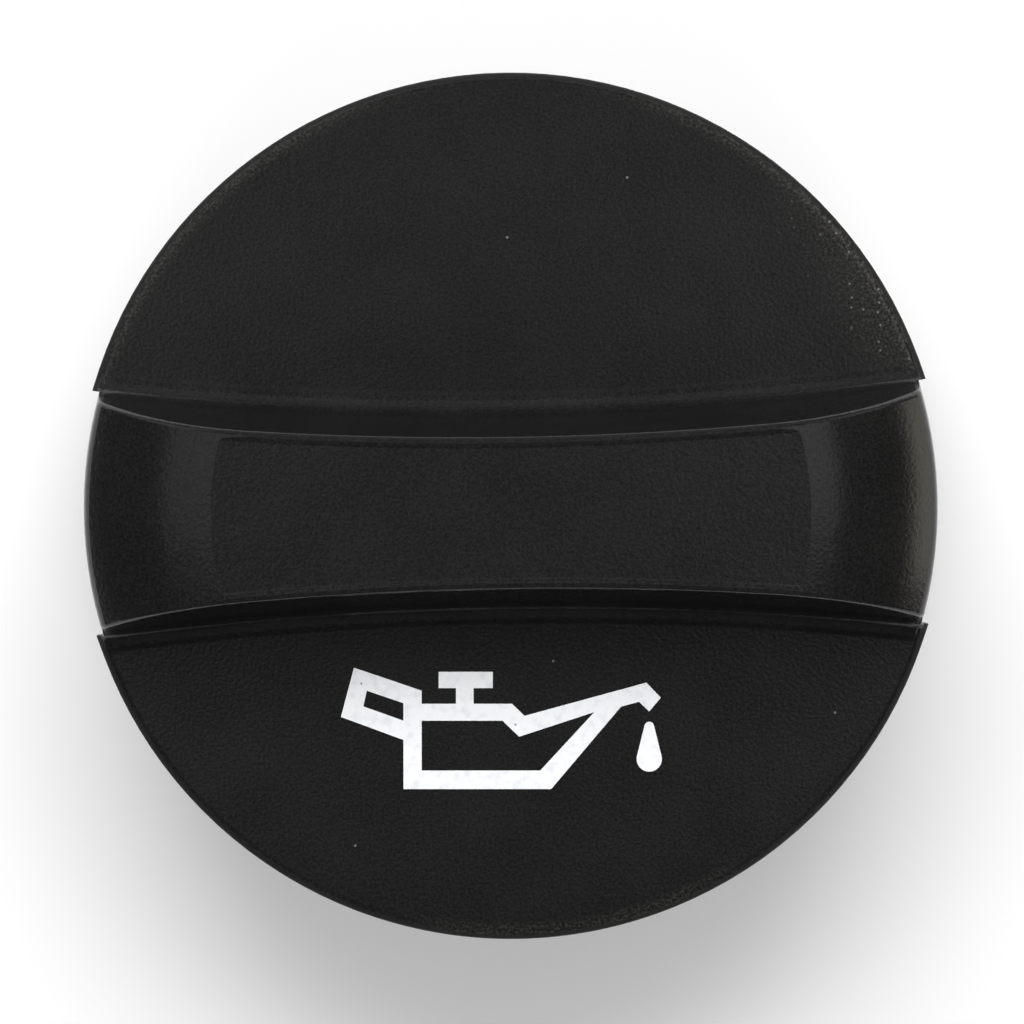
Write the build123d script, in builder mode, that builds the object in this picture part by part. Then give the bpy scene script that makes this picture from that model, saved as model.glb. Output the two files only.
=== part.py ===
from build123d import *
import math
import os

# Oil filler cap with a raised grip bar. Millimetres, +Z up along the cap's axis, the bar along X,
# the printed oil can on the -Y half-moon. The plug's lower end stands on Z = 0.

# Heights
skirt_bottom = 8.0
floor_z = 24.0
bar_height = 8.6
plate = 2.5

# Round outline
lip_radius = 36.0
lip_drop = 2.4
lip_round = 0.85
lip_overhang = 0.6
lip_seat = 0.3
skirt_wall = 2.2
skirt_draft = 1.0
skirt_edge_round = 0.6

# Grip bar: waisted in plan, walls leaning in, ends rolling over to the side
bar_waist = 12.4
bar_side_radius = 285.0
bar_draft = 12.5
bar_wall = 2.2
bar_top_wall = 2.4
foot_round = 2.0
edge_round = 0.5
end_set_in = 0.2
end_round = 1.5
roll_length = 12.7
roll_radius = 18.0

# Flat panel sunk into the bar's top, running out where the ends roll over
panel_margin = 0.5
panel_depth = 0.12
panel_round = 0.8

# Ribs across the bar's hollow
rib_thickness = 1.8
rib_set_in = 1.0

# Beads on the skirt's inside that hold the plug's flange
bead_count = 4
bead_middle = 45.0
bead_arc = 24.0
bead_height = 1.6
bead_reach = 0.7
bead_root = 0.3

# Fits between the pieces
flange_gap = 0.2
tongue_gap = 0.2
tongue_end_gap = 5.6
bead_gap = 0.1
ring_gap = 0.1

# Plug: flange, tongue in the bar's hollow, pilot ring, tube and two bayonet lugs
flange = 2.6
tongue_height = 4.0
tongue_wall = 2.0
pilot_step = 0.4
pilot_wall = 2.3
pilot_depth = 4.9
pilot_chamfer = 0.8
tube_set_in = 5.0
tube_wall = 2.4
tube_chamfer = 0.6
lug_count = 2
lug_set_in = 0.5
lug_bottom = 2.5
lug_height = 3.0
lug_arc = 40.0
lug_ramp = 2.4
lug_ramp_drop = 1.0

# Flat rubber ring in its groove under the flange
ring_width = 6.0
ring_thickness = 2.8
groove_wall = 1.4
groove_depth = 0.8
ring_round = 0.5

# Length past the outline for cuts, and the band in which an edge counts as lying at a height
spare = 3.0
near = 0.01

# Printed oil can, turned a little against the bar as on the real cap
ink = 0.1
print_skew = 0.8
can_length = 26.6
can_x = -0.8
can_y = -18.4
drop_radius = 1.05
drop_tip = 0.4

standing = (Align.CENTER, Align.CENTER, Align.MIN)
bar_top = floor_z + bar_height
panel_z = bar_top - panel_depth
panel_slope = math.sqrt(2 * panel_round * panel_depth - panel_depth**2)
panel_half = bar_waist / 2 - panel_margin + panel_round - panel_slope
feet_top = floor_z + foot_round
ceiling_z = floor_z - plate
flange_bottom = ceiling_z - flange
groove_top = flange_bottom + groove_depth
ring_bottom = groove_top - ring_thickness
reach = lip_radius + 2 * spare
skirt_radius = lip_radius - lip_overhang
lip_bottom = floor_z - lip_drop
lip_inner = lip_radius - lip_round - lip_seat
end_radius = skirt_radius - end_set_in
roll_start = end_radius - roll_length
lean = math.tan(math.radians(bar_draft))
skirt_lean = math.tan(math.radians(skirt_draft))
foot_half = bar_waist / 2 + bar_height * lean
flare = reach**2 / (2 * bar_side_radius)
roll_angle = math.asin(roll_length / roll_radius)
roll_end_z = bar_top - roll_radius * (1 - math.cos(roll_angle))
roll_centre_z = bar_top - roll_radius
skirt_bottom_radius = skirt_radius + (floor_z - skirt_bottom) * skirt_lean
inner_radius = skirt_radius - skirt_wall
inner_bottom_radius = inner_radius + (ceiling_z - skirt_bottom) * skirt_lean
flange_radius = inner_radius - flange_gap
ring_outer = flange_radius - groove_wall - ring_gap
ring_middle = ring_outer - ring_width / 2
seat_radius = ring_outer - ring_width - ring_gap
pilot_radius = seat_radius - pilot_step
pilot_bottom = ring_bottom - pilot_depth
tube_radius = pilot_radius - tube_set_in
lug_radius = pilot_radius - lug_set_in
lug_pitch = 360 / lug_count
rib_x = roll_start - rib_set_in
tongue_length = 2 * (rib_x - rib_thickness / 2 - tongue_end_gap)
hollow_top = bar_top - bar_top_wall
hollow_roll = roll_radius - bar_top_wall
hollow_end = end_radius - bar_top_wall
hollow_angle = math.asin((hollow_end - roll_start) / hollow_roll)
hollow_end_z = roll_centre_z + hollow_roll * math.cos(hollow_angle)
hollow_half = foot_half - bar_wall / math.cos(math.radians(bar_draft)) + plate * lean


def waisted(half):
    with BuildSketch() as plan:
        with BuildLine():
            ThreePointArc((-reach, -half - flare), (0, -half), (reach, -half - flare))
            Line((reach, -half - flare), (reach, half + flare))
            ThreePointArc((reach, half + flare), (0, half), (-reach, half + flare))
            Line((-reach, half + flare), (-reach, -half - flare))
        make_face()
    return plan.sketch


def on_roll(radius, angle):
    return (roll_start + radius * math.sin(angle), roll_centre_z + radius * math.cos(angle))


def off_axis(edge):
    return math.hypot(edge.center().X, edge.center().Y)


def ramp_plane(angle):
    out = (math.cos(math.radians(angle)), math.sin(math.radians(angle)), 0)
    along = (-out[1], out[0], 0)
    start = (tube_radius * out[0], tube_radius * out[1], lug_bottom + lug_height)
    return Plane(origin=start, x_dir=along, z_dir=out)


# Points of the oil can, given in hundredths of its length
def on_can(*points):
    return [(x * can_length / 100, y * can_length / 100) for x, y in points]


# Bar on a wide floor, with the rounded feet where the two meet
with BuildPart() as bar_on_floor:
    with Locations((0, 0, skirt_bottom)):
        Box(2 * reach + spare, 2 * reach, floor_z - skirt_bottom, align=standing)
    with BuildSketch(Plane.XY.offset(floor_z)):
        add(waisted(foot_half))
    extrude(amount=bar_height + spare, taper=bar_draft)
    on_floor = edges().filter_by_position(Axis.Z, floor_z - near, floor_z + near)
    fillet(on_floor.filter_by(GeomType.CIRCLE), foot_round)

# Round outline of skirt, bar ends and bar top
with BuildPart() as turned_outline:
    with BuildSketch(Plane.XZ):
        with BuildLine():
            Line((0, skirt_bottom), (skirt_bottom_radius, skirt_bottom))
            Line((skirt_bottom_radius, skirt_bottom), (skirt_radius, floor_z))
            Line((skirt_radius, floor_z), (end_radius, roll_end_z))
            ThreePointArc(
                (end_radius, roll_end_z),
                on_roll(roll_radius, roll_angle / 2),
                (roll_start, bar_top),
            )
            Line((roll_start, bar_top), (0, bar_top))
            Line((0, bar_top), (0, skirt_bottom))
        make_face()
        fillet(vertices().sort_by_distance((end_radius, roll_end_z))[0], end_round)
        fillet(vertices().sort_by_distance((skirt_bottom_radius, skirt_bottom))[0], skirt_edge_round)
    revolve(axis=Axis.Z)

# Border of the two half-moons, where the lips go
with BuildPart() as lip_space:
    with Locations((0, 0, lip_bottom)):
        Cylinder(reach, lip_drop + spare, align=standing)
        Cylinder(lip_inner, lip_drop + spare, align=standing, mode=Mode.SUBTRACT)
    with BuildSketch(Plane.XY.offset(lip_bottom)):
        add(waisted(foot_half))
    extrude(amount=lip_drop + spare, mode=Mode.SUBTRACT)

# Half-moon lips that stand out a little past the bar's ends
with BuildPart() as lips:
    with Locations((0, 0, lip_bottom)):
        Cylinder(lip_radius, lip_drop + spare, align=standing)
    add(bar_on_floor.part, mode=Mode.INTERSECT)
    with BuildSketch(Plane.XY.offset(lip_bottom)):
        add(waisted(foot_half))
    extrude(amount=lip_drop + spare, mode=Mode.SUBTRACT)
    upper = edges().filter_by(lambda e: e.center().Z > floor_z - near)
    fillet(upper.filter_by(lambda e: off_axis(e) > hollow_end), lip_round)
    add(lip_space.part, mode=Mode.INTERSECT)

# The inside of cap and bar
with BuildPart() as bar_hollow:
    with BuildSketch(Plane.XZ):
        with BuildLine():
            Line((0, ceiling_z - spare), (hollow_end, ceiling_z - spare))
            Line((hollow_end, ceiling_z - spare), (hollow_end, hollow_end_z))
            ThreePointArc(
                (hollow_end, hollow_end_z),
                on_roll(hollow_roll, hollow_angle / 2),
                (roll_start, hollow_top),
            )
            Line((roll_start, hollow_top), (0, hollow_top))
            Line((0, hollow_top), (0, ceiling_z - spare))
        make_face()
    revolve(axis=Axis.Z)
    with BuildSketch(Plane.XY.offset(ceiling_z - spare)):
        add(waisted(hollow_half + spare * lean))
    extrude(amount=bar_height + plate + 2 * spare, taper=bar_draft, mode=Mode.INTERSECT)

# Sunk panel, with a rounded border along both sides
with BuildPart() as panel_space:
    with BuildSketch(Plane.XY.offset(panel_z)):
        add(waisted(panel_half))
    extrude(amount=panel_depth + spare)
    low = edges().filter_by_position(Axis.Z, panel_z - near, panel_z + near)
    fillet(low.filter_by(GeomType.CIRCLE), panel_round)

with BuildPart() as grip_cap:
    add(bar_on_floor.part)
    add(turned_outline.part, mode=Mode.INTERSECT)
    above_feet = edges().filter_by_position(Axis.Z, feet_top, bar_top)
    fillet(above_feet.filter_by(lambda e: abs(e.center().Y) > panel_margin), edge_round)
    add(panel_space.part, mode=Mode.SUBTRACT)
    add(lip_space.part, mode=Mode.SUBTRACT)
    add(lips.part)
    with BuildSketch(Plane.XZ):
        with BuildLine():
            Polyline(
                (0, skirt_bottom),
                (inner_bottom_radius, skirt_bottom),
                (inner_radius, ceiling_z),
                (0, ceiling_z),
                close=True,
            )
        make_face()
    revolve(axis=Axis.Z, mode=Mode.SUBTRACT)
    add(bar_hollow.part, mode=Mode.SUBTRACT)
    with BuildPart(mode=Mode.PRIVATE) as ribs:
        with Locations((rib_x, 0, ceiling_z), (-rib_x, 0, ceiling_z)):
            Box(rib_thickness, 2 * foot_half, bar_height, align=standing)
        add(bar_hollow.part, mode=Mode.INTERSECT)
    add(ribs.part)
    bead_top = flange_bottom - bead_gap
    with BuildSketch(Plane.XZ):
        with BuildLine():
            Polyline(
                (inner_radius + bead_root, bead_top),
                (inner_radius - bead_reach, bead_top),
                (inner_radius + bead_root, bead_top - bead_height),
                close=True,
            )
        make_face()
    bead = revolve(axis=Axis.Z, revolution_arc=bead_arc, mode=Mode.PRIVATE)
    with PolarLocations(0, bead_count, start_angle=bead_middle - bead_arc / 2):
        add(bead)

with BuildPart() as bayonet_plug:
    with Locations((0, 0, flange_bottom)):
        Cylinder(flange_radius, flange, align=standing)
    with BuildSketch(Plane.XY.offset(ceiling_z)):
        Rectangle(tongue_length, 2 * (hollow_half - tongue_gap))
    extrude(amount=tongue_height, taper=bar_draft)
    with BuildSketch(Plane.XZ):
        with BuildLine():
            Polyline(
                (pilot_radius - pilot_wall, flange_bottom + ring_gap),
                (pilot_radius - pilot_wall, pilot_bottom),
                (pilot_radius - pilot_chamfer, pilot_bottom),
                (pilot_radius, pilot_bottom + pilot_chamfer),
                (pilot_radius, ring_bottom),
                (seat_radius, ring_bottom),
                (seat_radius, flange_bottom + ring_gap),
                close=True,
            )
        make_face()
        with BuildLine():
            Polyline(
                (tube_radius - tube_wall, flange_bottom + ring_gap),
                (tube_radius - tube_wall, 0),
                (tube_radius - tube_chamfer, 0),
                (tube_radius, tube_chamfer),
                (tube_radius, flange_bottom + ring_gap),
                close=True,
            )
        make_face()
    revolve(axis=Axis.Z)
    with BuildSketch(Plane.XZ):
        with Locations((ring_middle, flange_bottom + groove_depth / 2)):
            Rectangle(ring_width + 2 * ring_gap, groove_depth)
    revolve(axis=Axis.Z, mode=Mode.SUBTRACT)
    with BuildSketch(Plane.XY.offset(flange_bottom)):
        Rectangle(tongue_length - 2 * tongue_wall, 2 * (hollow_half - tongue_gap - tongue_wall))
    extrude(amount=flange + tongue_height - tongue_wall, taper=bar_draft, mode=Mode.SUBTRACT)
    with BuildSketch(Plane.XZ):
        with Locations((tube_radius - tube_wall / 2, lug_bottom)):
            Rectangle(lug_radius - tube_radius + tube_wall / 2, lug_height, align=(Align.MIN, Align.MIN))
    lug = revolve(axis=Axis.Z, revolution_arc=lug_arc, mode=Mode.PRIVATE)
    with PolarLocations(0, lug_count, start_angle=-lug_arc / 2):
        add(lug)
    with BuildSketch(ramp_plane(-lug_arc / 2), ramp_plane(lug_pitch - lug_arc / 2)):
        with BuildLine():
            Polyline((0, -lug_ramp_drop), (lug_ramp, 0), (0, 0), close=True)
        make_face()
    extrude(amount=lug_radius, mode=Mode.SUBTRACT)

with BuildPart() as sealing_ring:
    with BuildSketch(Plane.XZ):
        with Locations((ring_middle, ring_bottom + ring_thickness / 2)):
            RectangleRounded(ring_width, ring_thickness, ring_round)
    revolve(axis=Axis.Z)

print_plane = Plane.XY.offset(floor_z).rotated((0, 0, -print_skew))

with BuildPart() as oil_can_print:
    with BuildSketch(print_plane):
        with Locations((can_x, can_y)):
            Polygon(
                *on_can(
                    (-50.0, 3.8),
                    (-30.5, -3.4),
                    (-30.5, -18.8),
                    (15.6, -18.8),
                    (37.4, 7.0),
                    (43.0, 8.5),
                    (46.2, 5.5),
                    (49.8, 9.8),
                    (45.3, 14.5),
                    (7.3, 4.1),
                    (3.4, 7.9),
                    (-8.6, 7.9),
                    (-8.6, 12.8),
                    (-2.6, 12.8),
                    (-2.6, 17.9),
                    (-19.5, 17.9),
                    (-19.5, 12.8),
                    (-14.1, 12.8),
                    (-14.1, 7.9),
                    (-24.8, 7.9),
                    (-24.8, 12.0),
                    (-45.9, 19.2),
                ),
                align=None,
            )
            handle_eye = on_can((-43.0, 7.1), (-30.5, 2.6), (-30.5, 8.1), (-41.9, 12.0))
            Polygon(*handle_eye, align=None, mode=Mode.SUBTRACT)
            body_eye = on_can(
                (-24.8, -13.0),
                (12.2, -13.0),
                (29.1, 5.3),
                (5.6, -2.4),
                (0.4, 2.6),
                (-24.8, 2.6),
            )
            Polygon(*body_eye, align=None, mode=Mode.SUBTRACT)
    extrude(amount=ink)

with BuildPart() as oil_drop_print:
    with BuildSketch(print_plane):
        with Locations((can_x, can_y)):
            drop_low, drop_high = on_can((46.2, -9.4), (46.2, 0.75))
            with Locations(drop_low):
                Circle(drop_radius)
            with Locations(drop_high):
                Circle(drop_tip)
        make_hull()
    extrude(amount=ink)

os.makedirs("parts", exist_ok=True)
grip_cap.part.label = "grip_cap"
export_step(grip_cap.part, "parts/grip_cap.step")
bayonet_plug.part.label = "bayonet_plug"
export_step(bayonet_plug.part, "parts/bayonet_plug.step")
sealing_ring.part.label = "sealing_ring"
export_step(sealing_ring.part, "parts/sealing_ring.step")
oil_can_print.part.label = "oil_can_print"
export_step(oil_can_print.part, "parts/oil_can_print.step")
oil_drop_print.part.label = "oil_drop_print"
export_step(oil_drop_print.part, "parts/oil_drop_print.step")
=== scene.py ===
import math
import bpy
from mathutils import Matrix, Quaternion, Vector

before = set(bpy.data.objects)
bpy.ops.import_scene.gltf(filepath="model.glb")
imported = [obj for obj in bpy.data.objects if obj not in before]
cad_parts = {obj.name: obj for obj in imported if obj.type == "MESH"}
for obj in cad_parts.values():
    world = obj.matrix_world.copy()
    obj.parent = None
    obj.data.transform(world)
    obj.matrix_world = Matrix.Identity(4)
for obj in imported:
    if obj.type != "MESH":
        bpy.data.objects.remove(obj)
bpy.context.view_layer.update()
bpy.ops.object.select_all(action="DESELECT")
print("frame loaded:", ", ".join(sorted(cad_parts)))

scene = bpy.context.scene
scene.view_settings.view_transform = "Standard"
mm = 0.001
floorHeight = 24.0  # of the half-moons, in millimetres


# one socket of a node tree, so that shader sums read as sums
class Wire:
    def __init__(self, look, socket):
        self.look = look
        self.socket = socket

    def sum(self, operation, first, second=None):
        values = {0: first} if second is None else {0: first, 1: second}
        return self.look.node("ShaderNodeMath", {"operation": operation}, values)

    # another output of the same node
    def other(self, name):
        return Wire(self.look, self.socket.node.outputs[name])

    def root(self):
        return self.sum("SQRT", self)

    def size(self):
        return self.sum("ABSOLUTE", self)

    def sign(self):
        return self.sum("SIGN", self)

    def __add__(self, other):
        return self.sum("ADD", self, other)

    def __radd__(self, other):
        return self.sum("ADD", other, self)

    def __sub__(self, other):
        return self.sum("SUBTRACT", self, other)

    def __rsub__(self, other):
        return self.sum("SUBTRACT", other, self)

    def __mul__(self, other):
        return self.sum("MULTIPLY", self, other)

    def __rmul__(self, other):
        return self.sum("MULTIPLY", other, self)

    def __truediv__(self, other):
        return self.sum("DIVIDE", self, other)

    def __rtruediv__(self, other):
        return self.sum("DIVIDE", other, self)

    def __neg__(self):
        return self.sum("MULTIPLY", self, -1.0)

    def __gt__(self, other):
        return self.sum("GREATER_THAN", self, other)

    def __lt__(self, other):
        return self.sum("LESS_THAN", self, other)


# a node tree of a material or the world
class Look:
    def __init__(self, tree):
        self.tree = tree
        tree.nodes.clear()

    # any node: its type, its settings, then the values or links of its sockets
    def node(self, kind, settings=None, sockets=None, out=0):
        made = self.tree.nodes.new(kind)
        for name, value in (settings or {}).items():
            setattr(made, name, value)
        for name, value in (sockets or {}).items():
            if isinstance(value, Wire):
                self.tree.links.new(value.socket, made.inputs[name])
            else:
                made.inputs[name].default_value = value
        return Wire(self, made.outputs[out]) if made.outputs else made

    def vector(self, x, y, z):
        joined = self.node("ShaderNodeCombineXYZ", None, {0: x, 1: y, 2: z})
        return self.node("ShaderNodeVectorMath", {"operation": "NORMALIZE"}, {0: joined})

    def split(self, vector):
        first = self.node("ShaderNodeSeparateXYZ", None, {0: vector})
        return first, first.other(1), first.other(2)

    # the piece's own coordinates in millimetres
    def place(self):
        metres = self.node("ShaderNodeTexCoord", None, None, "Object")
        return self.node("ShaderNodeVectorMath", {"operation": "SCALE"}, {0: metres, "Scale": 1 / mm})

    # a soft step from 0 at low to 1 at high
    def step(self, value, low, high):
        return self.node(
            "ShaderNodeMapRange",
            {"interpolation_type": "SMOOTHSTEP"},
            {"Value": value, "From Min": low, "From Max": high},
        )

    def noise(self, place, scale, detail=2.0):
        return self.node("ShaderNodeTexNoise", None, {"Vector": place, "Scale": scale, "Detail": detail})

    # round specks in a share of the cells of a random grid
    def specks(self, place, scale, share, radius):
        flat = {"voronoi_dimensions": "2D"}
        cells = self.node("ShaderNodeTexVoronoi", flat, {"Vector": place, "Scale": scale}, "Distance")
        pick = self.split(cells.other("Color"))[0] < share
        return (1 - self.step(cells, 0.5 * radius * scale, radius * scale)) * pick

    def tint(self, factor, first, second):
        return self.node("ShaderNodeMix", {"data_type": "RGBA"}, {0: factor, 6: first, 7: second}, 2)

    def choose(self, factor, first, second):
        return self.node("ShaderNodeMix", {"data_type": "VECTOR"}, {0: factor, 4: first, 5: second}, 1)

    def bump(self, height, depth, normal=None):
        sockets = {"Strength": 1.0, "Distance": depth * mm, "Height": height}
        if normal:
            sockets["Normal"] = normal
        return self.node("ShaderNodeBump", None, sockets)

    def surface(self, sockets):
        made = self.node("ShaderNodeBsdfPrincipled", None, sockets)
        self.node("ShaderNodeOutputMaterial", None, {"Surface": made})


def material(name):
    made = bpy.data.materials.new(name)
    made.use_nodes = True
    return made, Look(made.node_tree)


def dress(node, made):
    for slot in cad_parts[node].material_slots:
        slot.material = made
    print("dressed", node)


# camera, a little off straight above
camera = {
    "aim": (0.1 * mm, -0.37 * mm, floorHeight * mm),
    "distance": 650 * mm,
    "frameWidth": 84.87 * mm,  # at the height of the half-moons
    "lean": 3.04,
    "roll": 0.82,
    "sensorWidth": 36,
    "clip": (0.01, 20),
}


def placeCamera(facts):
    made = bpy.data.cameras.new("camera")
    made.sensor_width = facts["sensorWidth"]
    made.lens = facts["sensorWidth"] * facts["distance"] / facts["frameWidth"]
    made.clip_start, made.clip_end = facts["clip"]
    holder = bpy.data.objects.new("camera", made)
    scene.collection.objects.link(holder)
    turn = Matrix.Rotation(math.radians(-facts["lean"]), 4, "X")
    turn = turn @ Matrix.Rotation(math.radians(-facts["roll"]), 4, "Z")
    back = turn @ Vector((0, 0, facts["distance"]))
    holder.matrix_world = Matrix.Translation(Vector(facts["aim"]) + back) @ turn
    scene.camera = holder
    print("camera placed")


placeCamera(camera)

# soft boxes: bearing from +X towards +Y, height above the table and turn about their own axis in degrees,
# sizes in metres, brightness as white is 1
cream = (1.0, 0.93, 0.78)
lamps = {
    "key": {"bearing": 90, "height": 49, "size": (0.7, 0.5), "bright": 6.8, "mirrored": False},
    "fill": {"bearing": 270, "height": 45, "size": (0.8, 0.4), "bright": 2.35, "mirrored": False},
    "glow": {"bearing": 90, "height": 72, "size": (0.14, 0.62), "bright": 0.10},
    "back": {"bearing": 90, "height": 26, "size": (0.5, 0.56), "bright": 0.25},
    "front": {"bearing": 270, "height": 34, "size": (1.2, 0.6), "bright": 0.06},
    "softRight": {"bearing": 34, "height": 77.4, "size": (0.36, 0.154), "turn": -34, "bright": 0.55},
    "stripRight": {"bearing": 17, "height": 65.5, "size": (0.36, 0.25), "turn": -17, "bright": 0.68},
    "softLeft": {"bearing": 153, "height": 74.4, "size": (0.36, 0.25), "turn": 27, "bright": 0.48},
    "stripLeft": {"bearing": 168, "height": 56.8, "size": (0.36, 0.30), "turn": 12, "bright": 0.42},
    "rimRight": {"bearing": 45, "height": 32, "size": (0.35, 0.6), "bright": 0.5},
    "rimLeft": {"bearing": 130, "height": 32, "size": (0.35, 0.6), "bright": 0.6},
    "low": {"bearing": 0, "height": 5, "size": (0.4, 0.25), "bright": 1.5, "colour": cream},
}
lampDistance = 0.8


def hangLamp(name, facts):
    made = bpy.data.lights.new(name, "AREA")
    made.shape = "RECTANGLE"
    made.size, made.size_y = facts["size"]
    made.energy = facts["bright"] * math.pi * made.size * made.size_y
    made.color = facts.get("colour", (1, 1, 1))
    holder = bpy.data.objects.new(name, made)
    scene.collection.objects.link(holder)
    holder.visible_glossy = facts.get("mirrored", True)
    bearing = math.radians(facts["bearing"])
    height = math.radians(facts["height"])
    level = math.cos(height)
    way = Vector((math.cos(bearing) * level, math.sin(bearing) * level, math.sin(height)))
    holder.location = Vector((0, 0, floorHeight * mm)) + way * lampDistance
    turn = Quaternion((0, 0, 1), math.radians(facts.get("turn", 0)))
    holder.rotation_euler = (way.to_track_quat("Z", "Y") @ turn).to_euler()


for lampName, lampFacts in lamps.items():
    hangLamp(lampName, lampFacts)
print("lamps hung:", len(lamps))

# white table top in a dim room, lit up towards its far parts, with the distances in millimetres
table = {"size": 6.0, "colour": 0.8, "lift": 0.2, "farLift": 0.8, "farFrom": (150, 700), "room": 0.04}


def layTable(facts):
    bpy.ops.mesh.primitive_plane_add(size=facts["size"], location=(0, 0, 0))
    top = bpy.context.object
    top.name = "tableTop"
    made, look = material("tablePaper")
    rays = look.node("ShaderNodeLightPath", None, None, "Is Camera Ray")
    seen = rays + rays.other("Is Glossy Ray") + rays.other("Is Transmission Ray")
    paper = look.node("ShaderNodeBsdfDiffuse", None, {"Color": (*[facts["colour"]] * 3, 1)})
    x, y, z = look.split(look.place())
    far = look.step((x * x + y * y).root(), *facts["farFrom"])
    lift = far * facts["farLift"] + facts["lift"]
    glow = look.node("ShaderNodeEmission", None, {"Strength": seen * lift})
    both = look.node("ShaderNodeAddShader", None, {0: paper, 1: glow})
    look.node("ShaderNodeOutputMaterial", None, {"Surface": both})
    top.data.materials.append(made)
    scene.world = bpy.data.worlds.new("room")
    scene.world.use_nodes = True
    room = Look(scene.world.node_tree)
    air = room.node("ShaderNodeBackground", None, {"Color": (1, 1, 1, 1), "Strength": facts["room"]})
    room.node("ShaderNodeOutputWorld", None, {"Surface": air})
    print("table laid")


layTable(table)

# roundings of the grip cap in millimetres, as in the solids
capShape = {
    "floor": floorHeight,
    "waist": 12.4,
    "barHeight": 8.6,
    "draft": math.radians(12.5),
    "sideBend": 285.0,
    "sideReach": 42.0,
    "footRound": 2.0,
    "lipRadius": 36.0,
    "lipRound": 0.85,
    "slack": 0.001,
}


# true normals of the bar's foot and of the outer lip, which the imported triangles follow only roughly
def roundNormal(look, place, shape):
    x, y, z = look.split(place)
    ahead = look.node("ShaderNodeNewGeometry", None, None, "Normal")
    flare = shape["sideReach"] ** 2 / (2 * shape["sideBend"])
    bend = (shape["sideReach"] ** 2 + flare**2) / (2 * flare)
    footHalf = shape["waist"] / 2 + shape["barHeight"] * math.tan(shape["draft"])
    across = footHalf + bend - y.size()
    far = (x * x + across * across).root()
    outward = bend - far
    foot = shape["footRound"]
    footReach = foot / math.cos(shape["draft"]) - foot * math.tan(shape["draft"])
    footTop = shape["floor"] + foot * (1 - math.sin(shape["draft"]))
    inward = footReach - outward
    footNormal = look.vector(
        -(inward * x) / far,
        inward * y.sign() * across / far,
        shape["floor"] + foot - z,
    )
    radius = (x * x + y * y).root()
    lipStart = shape["lipRadius"] - shape["lipRound"]
    lipFoot = shape["floor"] - shape["lipRound"]
    past = radius - lipStart
    lipNormal = look.vector(past * x / radius, past * y / radius, z - lipFoot)
    inFoot = (inward > 0) * (inward < foot * math.cos(shape["draft"])) * (z < footTop) * (past < 0)
    inFoot = inFoot * (z > shape["floor"] - shape["slack"])
    inLip = (past > 0) * (z > lipFoot) * (inward < 0)
    return look.choose(inLip, look.choose(inFoot, ahead, footNormal), lipNormal)


# moulded black plastic of the grip cap, grained, dusty and with some wear at the rim, plus a painted
# highlight in a lighter band on the upper lip at upper left and upper right
# scales are per millimetre, and pairs are where a soft step begins and ends
# specks are given by their scale, the share of cells that have one, and their radius
capFinish = {
    "black": (0.0062, 0.0062, 0.0062, 1),
    "paler": (0.0136, 0.0135, 0.0133, 1),
    # wear colour, which also paints the highlight band on the upper lip
    "wornAndSheen": (0.060, 0.058, 0.052, 1),
    "dust": (0.16, 0.16, 0.15, 1),
    "roughness": 0.20,
    "roughnessSpread": 0.05,
    "edgeDulling": 0.65,
    "edgeRadius": (35.4, 35.75),
    "edgeHeight": (22.9, 23.2),
    "grain": 3.0,
    "grainDepth": 0.018,
    "grainRoughness": 0.08,
    "cloud": 0.16,
    "cloudShare": 0.2,
    "mottle": 4.5,
    "mottleRange": (0.34, 0.66),
    "facesUp": (0.6, 0.95),
    "nearRim": (29.0, 35.0),
    "onLip": (34.3, 35.2),
    "rightX": (20.0, 30.0),
    "rightY": (9.0, 13.0),
    "frontY": (28.0, 31.0),
    "frontMiddle": 5.0,
    "frontHalf": (9.0, 15.0),
    # the back band on the upper lip is a painted highlight, not wear
    "backX": (4.0, 18.0),
    "backY": (9.0, 14.0),
    # patches shared by the real wear and the painted lip highlight
    "rubAndSheen": 4.0,
    "rubAndSheenRange": (0.42, 0.74),
    "rubAndSheenStrength": 0.6,
    "strayDust": (0.30, 0.015, 0.13),
    "rimDust": (0.85, 0.22, 0.12),
}


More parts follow.
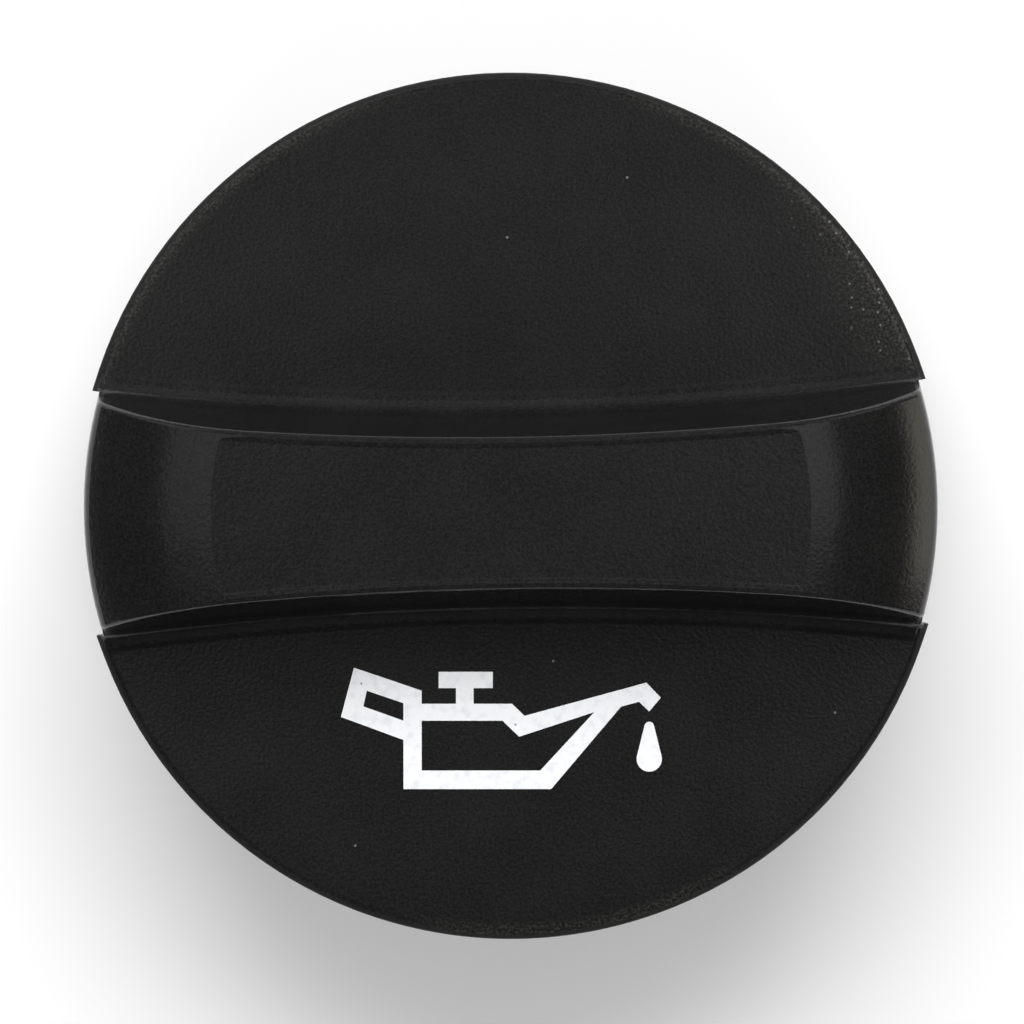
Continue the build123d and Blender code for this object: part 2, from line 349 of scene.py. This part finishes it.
def finishCap(facts):
    made, look = material("mouldedBlack")
    place = look.place()
    x, y, z = look.split(place)
    radius = (x * x + y * y).root()
    grain = look.noise(place, facts["grain"])
    cloud = look.noise(place, facts["cloud"], 3.0)
    mottle = look.noise(place, facts["mottle"]) * (1 - facts["cloudShare"]) + cloud * facts["cloudShare"]
    ahead = look.node("ShaderNodeNewGeometry", None, None, "Normal")
    upward = look.step(look.split(ahead)[2], *facts["facesUp"])
    nearRim = look.step(radius, *facts["nearRim"])
    onLip = look.step(radius, *facts["onLip"])
    atRight = look.step(x, *facts["rightX"]) * look.step(y, *facts["rightY"])
    pastFront = look.step((x - facts["frontMiddle"]).size(), *facts["frontHalf"])
    atFront = onLip * look.step(-y, *facts["frontY"]) * (1 - pastFront)
    # painted highlight: a lighter band on the upper lip at upper left and upper right
    backSheen = onLip * look.step(y, *facts["backY"]) * look.step(x.size(), *facts["backX"])
    # patchy mask: real wear at the right rim and the front lip, plus the painted highlight on the upper
    # lip
    rubAndSheen = look.step(look.noise(place, facts["rubAndSheen"], 4.0), *facts["rubAndSheenRange"])
    rubAndSheen = rubAndSheen * nearRim * (atRight + atFront + backSheen) * upward
    rimDust = look.specks(place, *facts["rimDust"]) * atRight * nearRim
    dust = (look.specks(place, *facts["strayDust"]) + rimDust) * upward
    colour = look.tint(look.step(mottle, *facts["mottleRange"]), facts["black"], facts["paler"])
    # wear colour, which also paints the upper lip's highlight
    colour = look.tint(rubAndSheen * facts["rubAndSheenStrength"], colour, facts["wornAndSheen"])
    colour = look.tint(dust, colour, facts["dust"])
    dullEdge = look.step(radius, *facts["edgeRadius"]) * look.step(z, *facts["edgeHeight"])
    matt = (cloud - 0.5) * facts["roughnessSpread"] + (grain - 0.5) * facts["grainRoughness"]
    matt = matt + facts["roughness"] + dullEdge * facts["edgeDulling"]
    normal = look.bump(grain, facts["grainDepth"], roundNormal(look, place, capShape))
    look.surface({"Base Color": colour, "Roughness": matt, "Normal": normal})
    dress("grip_cap", made)


finishCap(capFinish)

# plainer black plastic of the plug, with faint flow marks
plugFinish = {
    "black": (0.016, 0.016, 0.0165, 1),
    "paler": (0.022, 0.022, 0.0225, 1),
    "flowAcross": 0.12,
    "flowAlong": 0.5,
    "flowRange": (0.3, 0.7),
    "roughness": 0.42,
    "roughnessSpread": 0.2,
    "grain": 3.4,
    "grainDepth": 0.002,
}


def finishPlug(facts):
    made, look = material("plugBlack")
    place = look.place()
    x, y, z = look.split(place)
    across = facts["flowAcross"]
    drawn = {0: x * across, 1: y * across, 2: z * facts["flowAlong"]}
    flow = look.noise(look.node("ShaderNodeCombineXYZ", None, drawn), 1.0, 4.0)
    normal = look.bump(look.noise(place, facts["grain"]), facts["grainDepth"])
    colour = look.tint(look.step(flow, *facts["flowRange"]), facts["black"], facts["paler"])
    matt = (flow - 0.5) * facts["roughnessSpread"] + facts["roughness"]
    look.surface({"Base Color": colour, "Roughness": matt, "Normal": normal})
    dress("bayonet_plug", made)


finishPlug(plugFinish)

# dull rubber of the sealing ring, with a pale bloom
ringFinish = {
    "black": (0.018, 0.018, 0.018, 1),
    "pale": (0.045, 0.044, 0.042, 1),
    "bloom": 0.35,
    "bloomRange": (0.42, 0.75),
    "roughness": 0.72,
    "roughnessSpread": 0.25,
    "grain": 5.0,
    "grainDepth": 0.004,
}


def finishRing(facts):
    made, look = material("ringRubber")
    place = look.place()
    bloom = look.noise(place, facts["bloom"], 5.0)
    normal = look.bump(look.noise(place, facts["grain"]), facts["grainDepth"])
    colour = look.tint(look.step(bloom, *facts["bloomRange"]), facts["black"], facts["pale"])
    matt = (bloom - 0.5) * facts["roughnessSpread"] + facts["roughness"]
    look.surface({"Base Color": colour, "Roughness": matt, "Normal": normal})
    dress("sealing_ring", made)


finishRing(ringFinish)

# white printing ink, with a few pinholes
inkFinish = {
    "white": (0.90, 0.91, 0.93, 1),
    "thin": (0.78, 0.80, 0.83, 1),
    "bare": (0.10, 0.10, 0.10, 1),
    "cover": 1.4,
    "coverRange": (0.45, 0.75),
    "pinholes": (0.55, 0.10, 0.12),
    "pinholeDepth": 0.8,
    "roughness": 0.5,
    "roughnessSpread": 0.2,
}


def finishInk(facts):
    made, look = material("whiteInk")
    place = look.place()
    cover = look.noise(place, facts["cover"], 3.0)
    pinholes = look.specks(place, *facts["pinholes"])
    colour = look.tint(look.step(cover, *facts["coverRange"]), facts["white"], facts["thin"])
    colour = look.tint(pinholes * facts["pinholeDepth"], colour, facts["bare"])
    matt = (cover - 0.5) * facts["roughnessSpread"] + facts["roughness"]
    look.surface({"Base Color": colour, "Roughness": matt})
    dress("oil_can_print", made)
    dress("oil_drop_print", made)


finishInk(inkFinish)
